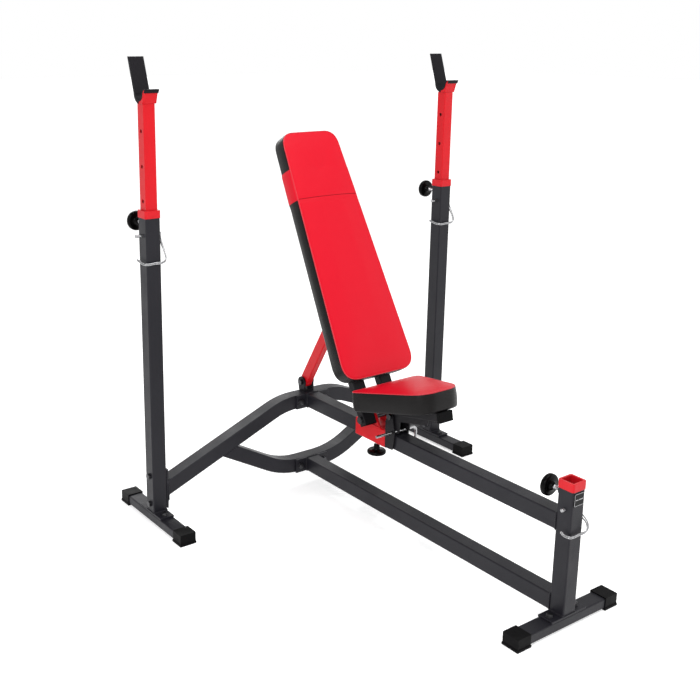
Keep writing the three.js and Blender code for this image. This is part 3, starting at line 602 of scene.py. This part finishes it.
def wire_bail(name, node, x, y, sizes):
    """A lock pin: a grooved head, its shaft, and a loop of sprung wire that hooks round the post."""
    side = 0.034
    low = -sizes["drop"]
    hook = sizes["hook"]
    centre = smooth_path([
        (side, 0, 0.004), (side, -0.004, -0.010), (side + 0.001, -0.010, -0.026),
        (side + 0.005, -0.027, low + 0.024), (side + 0.003, -0.0335, low + 0.007),
        (side - 0.010, -0.0345, low),
        (0, -0.0325, low - 0.001), (-side + 0.014, -0.032, low - 0.002), (-side + 0.002, -0.029, low - 0.001),
        (-side - 0.001, -0.014, low), (-side - 0.001, hook, low + 0.005)], 7)
    origin = Vector((x, y, sizes["z"]))
    solids = Solids()
    rails = [[], []]
    for index, point in enumerate(centre):
        gap = 0.0021 + 0.0026 * (1 - smoothstep(0.30, 0.46, index / len(centre)))
        ahead = (centre[min(index + 1, len(centre) - 1)] - centre[max(index - 1, 0)]).normalized()
        outwards = Vector((point.x, point.y * 0.6, 0))
        if outwards.length < 1e-6:
            outwards = Vector((0, -1, 0))
        across = ahead.cross(outwards.normalized()).normalized()
        rails[0].append(origin + point + across * gap)
        rails[1].append(origin + point - across * gap)
    end = (rails[0][-1] + rails[1][-1]) / 2 + (centre[-1] - centre[-2]).normalized() * gap
    solids.tube(rails[0] + [end] + rails[1][::-1], WIRE_RADIUS, 10)
    head = facing((1, 0, 0), origin + Vector((0.0253, 0, 0)))
    solids.lathe([(0, 0), (0.0074, 0), (0.0080, 0.0007), (0.0080, 0.0030), (0.0066, 0.0040), (0.0066, 0.0052),
                  (0.0080, 0.0062), (0.0080, 0.0108), (0.0070, 0.0121), (0, 0.0121)], head, 32)
    shaft = facing((1, 0, 0), origin + Vector((sizes["shaft_from"], 0, 0)))
    reach = 0.026 - sizes["shaft_from"]
    solids.lathe([(0, 0), (0.0038, 0), (0.0050, 0.0014), (0.0050, reach), (0, reach)], shaft, 24)
    end = sizes["tip"]
    if end is not None:
        tip = facing((-1, 0, 0), origin + Vector((-0.0252, 0, 0)))
        solids.lathe([(0, 0), (0.0050, 0), (0.0050, end - 0.002), (0.0040, end), (0, end)], tip, 24)
    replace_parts(solids.piece(name, zinc, node, 50), node)


def add_lock_pins():
    for side, x in SIDES:
        wire_bail(side + "_pin_and_bail", side + "_lock_pin", x, UPRIGHT_Y, UPRIGHT_PIN)
    wire_bail("front_pin_and_bail", "front_lock_pin", 0, FRONT_Y, FRONT_PIN)


def add_seat_rod():
    low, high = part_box("seat_lock_rod")
    radius = 0.0045
    y = (low[1] + high[1]) / 2
    z = high[2] - radius
    right = high[0] - radius
    bend = 0.014
    path = [(low[0], y, z), (low[0] + 0.004, y, z)]
    path += [(x, y, z) for x in (-0.05, 0.0, 0.03, right - bend)]
    for step in range(1, 7):
        turn = math.pi / 2 * step / 6
        path.append((right - bend + bend * math.sin(turn), y, z - bend + bend * math.cos(turn)))
    path += [(right, y, z - 0.03), (right, y, low[2])]
    solids = Solids()
    solids.tube(path, radius, 20)
    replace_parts(solids.piece("seat_rod_bar", zinc, "seat_rod", 50), "seat_lock_rod")


# ------------------------------------------------------------------ plugs, label and small fittings

def add_rail_plugs():
    solids = Solids()
    for x in (-BACK_RAIL_X, BACK_RAIL_X):
        for along, direction in BACK_RAIL_ENDS:
            place = BACK @ Matrix.Translation((x, 0, along))
            if direction < 0:
                place = place @ Matrix.Rotation(math.pi, 4, "X")
            solids.prism(rounded_box_outline(0.048, 0.030, 0.004), 0.0002, 0.0034, place, 0.0014)
            solids.prism(rounded_box_outline(0.0425, 0.0245, 0.003), -0.010, 0.0003, place)
    solids.piece("backrest_rail_plugs", black_plastic, "backrest", 40)


def add_label():
    low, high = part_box("front_post_plate")
    face = low[1] - 0.0001
    solids = Solids()
    middle_z = (low[2] + high[2]) / 2
    half = (high[2] - low[2]) / 2
    edge = half - 0.0016
    strips = [(0, edge, 0.0182, 0.0006), (0, -edge, 0.0182, 0.0006), (-0.0094, 0.0, 0.0055, 0.0011),
              (0.0070, 0.0, 0.0080, 0.0011), (-0.0182, 0, 0.0006, edge), (0.0182, 0, 0.0006, edge)]
    for x, z, wide, tall in strips:
        place = Matrix.Translation((x, face, middle_z + z)) @ Matrix.Rotation(math.pi / 2, 4, "X")
        solids.prism([(-wide, -tall), (wide, -tall), (wide, tall), (-wide, tall)], 0.0, 0.0004, place)
    solids.piece("label_lines", zinc, "frame", 30)


# ------------------------------------------------------------------ cushions

def tapered_outline(y0, width0, corner0, y1, width1, corner1):
    """A trapezium with round corners, as a dense closed line from the middle of its first end."""
    away = 1 if y1 > y0 else -1
    slope = (width1 - width0) / 2 / abs(y1 - y0)
    length = math.hypot(1, slope)
    up = Vector((slope / length, away / length))
    corners = [
        (Vector((width0 / 2, y0)), corner0, Vector((1, 0)), up),
        (Vector((width1 / 2, y1)), corner1, up, Vector((-1, 0))),
        (Vector((-width1 / 2, y1)), corner1, Vector((-1, 0)), Vector((up.x, -up.y))),
        (Vector((-width0 / 2, y0)), corner0, Vector((up.x, -up.y)), Vector((1, 0))),
    ]
    points = [Vector((0, y0))]
    for at, radius, before, after in corners:
        start = at - before * radius
        end = at + after * radius
        for step in range(17):
            t = step / 16
            points.append(start * (1 - t) ** 2 + at * 2 * t * (1 - t) + end * t ** 2)
    return points


def resample(points, spacing, keep_y=()):
    """Points evenly along a closed line, mirrored about X = 0, with extra ones at given heights."""
    half = [p for p in points if p.x >= -1e-9]
    lengths = [0.0]
    for a, b in zip(half, half[1:]):
        lengths.append(lengths[-1] + (b - a).length)
    total = lengths[-1]
    count = max(8, round(total / spacing))
    stops = [total * index / count for index in range(count + 1)]

    def at(distance):
        for index in range(len(half) - 1):
            if lengths[index + 1] >= distance:
                span = lengths[index + 1] - lengths[index]
                return half[index].lerp(half[index + 1], (distance - lengths[index]) / span if span else 0)
        return half[-1].copy()

    for wanted in keep_y:
        low, high = 0.0, total
        rising = half[-1].y > half[0].y
        for _ in range(50):
            centre = (low + high) / 2
            if (at(centre).y < wanted) == rising:
                low = centre
            else:
                high = centre
        nearest = min(range(1, len(stops) - 1), key=lambda index: abs(stops[index] - low))
        stops[nearest] = low
    right = [at(stop) for stop in sorted(stops)]
    right[0].x = 0.0
    right[-1].x = 0.0
    left = [Vector((-p.x, p.y)) for p in right[-2:0:-1]]
    return right + left


def outward(points):
    """Unit normals of a closed line that point away from its middle."""
    centre = sum(points, Vector((0, 0))) / len(points)
    normals = []
    for index, point in enumerate(points):
        along = points[(index + 1) % len(points)] - points[index - 1]
        normal = Vector((along.y, -along.x)).normalized()
        if normal.dot(point - centre) < 0:
            normal = -normal
        normals.append(normal)
    return normals


def smoothstep(low, high, value):
    t = min(1.0, max(0.0, (value - low) / (high - low)))
    return t * t * (3 - 2 * t)


class Cushion:
    """A padded board in its own frame: X across, Y along, and height above the board's back."""

    def __init__(self, outline, size, spacing, seams=(), band=None):
        self.outline = outline
        self.normals = outward(outline)
        self.height = size["height"]
        self.shoulder = size["shoulder"]
        self.crown = size["crown"]
        self.bulge = size["bulge"]
        self.seams = seams
        self.band = band
        self.seam_height = self.height - self.shoulder * 0.28
        self.seam_inset = self.shoulder * 0.44
        ys = [p.y for p in outline]
        self.low = min(ys)
        self.high = max(ys)
        self.half_low = max(abs(p.x) for p in outline if abs(p.y - self.low) < 0.15)
        self.rings = []
        self.build(spacing)

    def ring(self, inset, height, kind):
        points = []
        for point, normal in zip(self.outline, self.normals):
            at = point - normal * inset
            points.append(Vector((at.x, at.y, height)))
        self.rings.append((points, kind))

    def band_push(self, y):
        if not self.band:
            return 0.0
        low, high = self.band
        rise = smoothstep(low - 0.0008, low + 0.0008, y)
        fall = 1 - smoothstep(high - 0.0008, high + 0.0008, y)
        return 0.0022 * rise * fall

    def build(self, spacing):
        self.ring(0.030, 0.0, "back")
        self.ring(0.010, 0.0, "back")
        self.ring(0.0030, 0.0006, "wall")
        self.ring(0.0006, 0.0030, "wall")
        wall_from = 0.006
        wall_to = self.height - self.shoulder - 0.0025
        steps = max(2, round((wall_to - wall_from) / spacing))
        for step in range(steps + 1):
            t = step / steps
            self.ring(-self.bulge * math.sin(math.pi * t), wall_from + (wall_to - wall_from) * t, "wall")
        low = self.height - self.shoulder
        for turn in (0.0, 0.30, 0.60, 0.85):
            self.ring(self.shoulder * (1 - math.cos(turn)), low + self.shoulder * math.sin(turn), "wall")
        self.ring(self.seam_inset, self.seam_height, "seam")
        for turn in (0.98, 1.15, 1.35, 1.57):
            inset = self.shoulder * 1.25 * (1 - math.cos(turn))
            self.ring(inset, low + self.shoulder * math.sin(turn), "top")
        edge = [p.copy() for p in self.rings[-1][0]]
        narrow = min(max(p.x for p in edge), self.half_low)
        reach = max(p.x for p in edge)
        count = max(6, round(reach / (spacing * 1.15)))
        for step in range(1, count + 1):
            t = step / count
            points = []
            for point in edge:
                spine = min(max(point.y, self.low + narrow), self.high - narrow)
                target = Vector((0.0, spine))
                flat = Vector((point.x, point.y)).lerp(target, t)
                rise = self.crown * (1 - (1 - t) ** 2.2)
                points.append(Vector((flat.x, flat.y, self.height + rise)))
            self.rings.append((points, "top"))

    def groove(self, y):
        """How far a sewn line across the face pulls it down, in metres."""
        return sum(depth * math.exp(-abs(y - at) / 0.0028) for at, depth in self.seams)

    def mesh_parts(self):
        count = len(self.outline)
        vertices = []
        for points, kind in self.rings:
            for point, normal in zip(points, self.normals):
                at = point.copy()
                if kind == "wall":
                    push = self.band_push(at.y)
                    at.x += normal.x * push
                    at.y += normal.y * push
                if kind == "top":
                    at.z -= self.groove(at.y)
                vertices.append(at)
        faces = [list(range(count))[::-1]]
        kinds = [2]
        for ring in range(len(self.rings) - 1):
            kind = self.rings[ring + 1][1]
            for step in range(count):
                after = (step + 1) % count
                base = ring * count
                faces.append([base + step, base + after, base + count + after, base + count + step])
                middle_y = (self.outline[step].y + self.outline[after].y) / 2
                banded = self.band and self.band[0] < middle_y < self.band[1]
                index = {"back": 2, "wall": 0 if banded else 1, "seam": 0 if banded else 1, "top": 0}[kind]
                if kind == "wall" and self.rings[ring][1] == "back":
                    index = 1
                kinds.append(index)
        return vertices, faces, kinds


def inflate(obj, pinned, cap, frames=18):
    """Swells a cushion with the cloth solver, then keeps at most cap of each point's movement."""
    rest = [v.co.copy() for v in obj.data.vertices]
    group = obj.vertex_groups.new(name="held")
    group.add(pinned, 1.0, "REPLACE")
    cloth = obj.modifiers.new("swell", "CLOTH")
    settings = cloth.settings
    settings.quality = 5
    settings.mass = 0.3
    settings.tension_stiffness = 14
    settings.compression_stiffness = 14
    settings.shear_stiffness = 6
    settings.bending_stiffness = 0.6
    settings.use_pressure = True
    settings.uniform_pressure_force = 3.0
    settings.effector_weights.gravity = 0
    settings.vertex_group_mass = "held"
    cloth.collision_settings.use_collision = False
    scene = bpy.context.scene
    scene.frame_start = 1
    scene.frame_end = frames
    for number in range(1, frames + 1):
        scene.frame_set(number)
    evaluated = obj.evaluated_get(bpy.context.evaluated_depsgraph_get())
    moved = [v.co.copy() for v in evaluated.data.vertices]
    obj.modifiers.remove(cloth)
    scene.frame_set(1)
    steps = [end - start for start, end in zip(rest, moved)]
    neighbours = [[] for _ in steps]
    for edge in obj.data.edges:
        first, second = edge.vertices
        neighbours[first].append(second)
        neighbours[second].append(first)
    held = set(pinned)
    for _ in range(5):
        steps = [
            step if index in held else (step * 2 + sum((steps[n] for n in near), Vector())) / (2 + len(near))
            for index, (step, near) in enumerate(zip(steps, neighbours))
        ]
    for vertex, start, step in zip(obj.data.vertices, rest, steps):
        if step.length > cap:
            step = step.normalized() * cap
        vertex.co = start + step
    obj.vertex_groups.clear()
    obj.data.update()


def wrinkle(obj, cushion, amount):
    """Small creases of tight vinyl, strongest near the seam, none on the board's back."""
    for vertex in obj.data.vertices:
        at = vertex.co
        if at.z < 0.004:
            continue
        near_seam = math.exp(-abs(at.z - cushion.seam_height) / 0.012)
        along = noise.noise(Vector((at.x * 38, at.y * 38, at.z * 60)))
        broad = noise.noise(Vector((at.x * 9 + 4, at.y * 9, at.z * 20)))
        vertex.co = at + vertex.normal * (amount * (0.25 + near_seam) * along + amount * 0.8 * broad)


def add_cushion(name, cushion, place, body, nodes, cap, wrinkles):
    vertices, faces, kinds = cushion.mesh_parts()
    mesh = bpy.data.meshes.new(name)
    mesh.from_pydata([tuple(v) for v in vertices], [], faces)
    for material in (red_vinyl, black_vinyl, backing):
        mesh.materials.append(material)
    mesh.polygons.foreach_set("material_index", kinds)
    work = bmesh.new()
    work.from_mesh(mesh)
    held = work.verts.layers.int.new("held")
    count = len(cushion.outline)
    work.verts.ensure_lookup_table()
    for ring, (points, kind) in enumerate(cushion.rings):
        for step in range(count):
            vertex = work.verts[ring * count + step]
            on_seam = any(abs(vertex.co.y - at) < 0.0012 for at, _ in cushion.seams)
            if ring < 3 or kind == "seam" or (kind == "top" and on_seam):
                vertex[held] = 1
    bmesh.ops.remove_doubles(work, verts=work.verts, dist=1e-5)
    bmesh.ops.recalc_face_normals(work, faces=work.faces)
    work.verts.index_update()
    pinned = [v.index for v in work.verts if v[held]]
    work.to_mesh(mesh)
    work.free()
    obj = bpy.data.objects.new(name, mesh)
    bpy.context.scene.collection.objects.link(obj)
    inflate(obj, pinned, cap)
    wrinkle(obj, cushion, wrinkles)
    mesh.transform(place)
    mesh.shade_smooth()
    detail = obj.modifiers.new("smooth", "SUBSURF")
    detail.levels = 1
    detail.render_levels = 1
    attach(obj, body)
    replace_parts(obj, *nodes)
    return obj


def add_piping(name, cushion, place, body):
    """The welt sewn into the seam between the face and the wall."""
    points = []
    for point, normal in zip(cushion.outline, cushion.normals):
        at = point - normal * cushion.seam_inset
        points.append(place @ Vector((at.x, at.y, cushion.seam_height)))
    solids = Solids()
    solids.tube(points, 0.0016, 8, True)
    solids.piece(name, red_welt, body, 80)


def add_seam_painted_shadow(name, obj, cushion, place, y, body):
    """The turned edge of the upper panel, lying in the groove it is sewn down to, coloured dark as a painted
    shadow in that groove.
    """
    surface = BVHTree.FromPolygons([v.co for v in obj.data.vertices], [p.vertices for p in obj.data.polygons])
    back = place.inverted()
    reach = max(p.x for p in cushion.outline if abs(p.y - y) < 0.004) - cushion.shoulder
    solids = Solids()
    points = []
    for step in range(61):
        x = reach * (step / 30 - 1)
        start = place @ Vector((x, y + 0.0006, 0.12))
        way = (place.to_3x3() @ Vector((0, 0, -1))).normalized()
        at = surface.ray_cast(start, way)[0]
        if at:
            points.append(place @ (back @ at - Vector((0, 0, 0.0003))))
    solids.tube(points, 0.0010, 6)
    solids.piece(name, seam_shadow, body, 80)


def back_cushion():
    size = BACK_PAD
    outline = tapered_outline(size["start"], size["low_width"], size["low_corner"],
                              size["start"] + size["length"], size["top_width"], size["top_corner"])
    edges = (0.7405, 0.7430, HEADREST_SEAM, 0.7470, 0.7495, 0.8490, 0.8510)
    points = resample(outline, 0.0075, edges)
    cushion = Cushion(points, size, 0.0075, [(HEADREST_SEAM, 0.0034)], HEADREST_BAND)
    # The board's back is 15.15 mm in front of the rails' centreline, and the pad faces the rails' -Y side.
    turn = Matrix(((1, 0, 0, 0), (0, 0, -1, -0.01515), (0, 1, 0, 0), (0, 0, 0, 1)))
    place = BACK @ turn
    nodes = ["back_pad", "back_board"]
    obj = add_cushion("backrest_cushion", cushion, place, "backrest", nodes, 0.006, 0.00018)
    add_piping("backrest_piping", cushion, place, "backrest")
    add_seam_painted_shadow("backrest_seam", obj, cushion, place, HEADREST_SEAM, "backrest")


def seat_cushion():
    size = SEAT_PAD
    outline = tapered_outline(size["rear"], size["rear_width"], size["rear_corner"],
                              size["front"], size["front_width"], size["front_corner"])
    cushion = Cushion(resample(outline, 0.0065), size, 0.0070)
    place = SEAT @ Matrix.Translation((0, 0, 0.0337))
    add_cushion("seat_cushion", cushion, place, "seat", ["seat_pad", "seat_board"], 0.007, 0.00022)
    add_piping("seat_piping", cushion, place, "seat")


# ------------------------------------------------------------------ camera, floor and light

def add_camera():
    yaw, pitch, roll = (math.radians(angle) for angle in (35.85, 14.19, -0.43))
    forward = Vector((math.sin(yaw) * math.cos(pitch), math.cos(yaw) * math.cos(pitch), -math.sin(pitch)))
    level_right = Vector((math.cos(yaw), -math.sin(yaw), 0))
    level_down = forward.cross(level_right)
    right = level_right * math.cos(roll) + level_down * math.sin(roll)
    down = level_down * math.cos(roll) - level_right * math.sin(roll)
    data = bpy.data.cameras.new("camera")
    data.sensor_width = 36.0
    data.lens = 52.61
    data.shift_x = 0.0818
    data.shift_y = -0.0868
    camera = bpy.data.objects.new("camera", data)
    rows = [[right[i], -down[i], -forward[i], 0] for i in range(3)] + [[0, 0, 0, 1]]
    camera.matrix_world = Matrix.Translation((-2.0864, -2.2838, 1.5889)) @ Matrix(rows)
    bpy.context.scene.collection.objects.link(camera)
    bpy.context.scene.camera = camera


def area_light(name, at, target, size, power, colour=(1, 1, 1)):
    data = bpy.data.lights.new(name, "AREA")
    data.shape = "RECTANGLE"
    data.size = size[0]
    data.size_y = size[1]
    data.energy = power
    data.color = colour
    lamp = bpy.data.objects.new(name, data)
    aim = Vector(target) - Vector(at)
    lamp.matrix_world = Matrix.Translation(at) @ aim.to_track_quat("-Z", "Y").to_matrix().to_4x4()
    bpy.context.scene.collection.objects.link(lamp)


def add_sky():
    """A studio that is white low down all round and dimmer overhead."""
    world = bpy.data.worlds.new("studio")
    world.use_nodes = True
    tree = world.node_tree
    place = tree.nodes.new("ShaderNodeTexCoord")
    split = tree.nodes.new("ShaderNodeSeparateXYZ")
    tree.links.new(place.outputs["Generated"], split.inputs["Vector"])
    fade = tree.nodes.new("ShaderNodeMapRange")
    fade.interpolation_type = "SMOOTHSTEP"
    for index, number in ((1, 0.30), (2, 0.75), (3, 1.0), (4, 0.38)):
        fade.inputs[index].default_value = number
    tree.links.new(split.outputs["Z"], fade.inputs["Value"])
    tree.links.new(fade.outputs["Result"], tree.nodes["Background"].inputs["Strength"])
    tree.nodes["Background"].inputs["Color"].default_value = (1, 1, 1, 1)
    bpy.context.scene.world = world


def add_studio():
    mesh = bpy.data.meshes.new("floor")
    reach = 30.0
    mesh.from_pydata([(-reach, -reach, 0), (reach, -reach, 0), (reach, reach, 0), (-reach, reach, 0)], [],
                     [(0, 1, 2, 3)])
    floor = bpy.data.objects.new("floor", mesh)
    floor.location.z = -0.0004
    bpy.context.scene.collection.objects.link(floor)
    shader = Shader("floor_paper", Roughness=0.09, Specular_IOR_Level=0.5, Emission_Color=(1, 1, 1, 1),
                    Emission_Strength=0.50)
    mottling = shader.noise(2.0, 2.0)
    mesh.materials.append(shader.finish(shader.mix(mottling, (0.84, 0.84, 0.84, 1), (0.86, 0.86, 0.86, 1))))
    add_sky()
    area_light("key", (-3.4, -2.2, 3.0), (0, 0, 0.7), (1.8, 2.2), 95)
    area_light("overhead", (0.3, -0.6, 4.2), (0, 0, 0), (2.6, 2.6), 90)
    area_light("fill", (3.4, -2.8, 1.8), (0, 0, 0.6), (2.0, 2.4), 20)
    area_light("rear", (0.8, 3.8, 2.6), (0, 0, 0.8), (2.4, 1.6), 50)
    settings = bpy.context.scene.view_settings
    settings.view_transform = "Standard"
    settings.look = "None"


add_camera()
add_studio()
dress_frame()
add_base_bolts()
add_welds()
add_knobs()
add_lock_pins()
add_seat_rod()
add_rail_plugs()
add_label()
back_cushion()
seat_cushion()
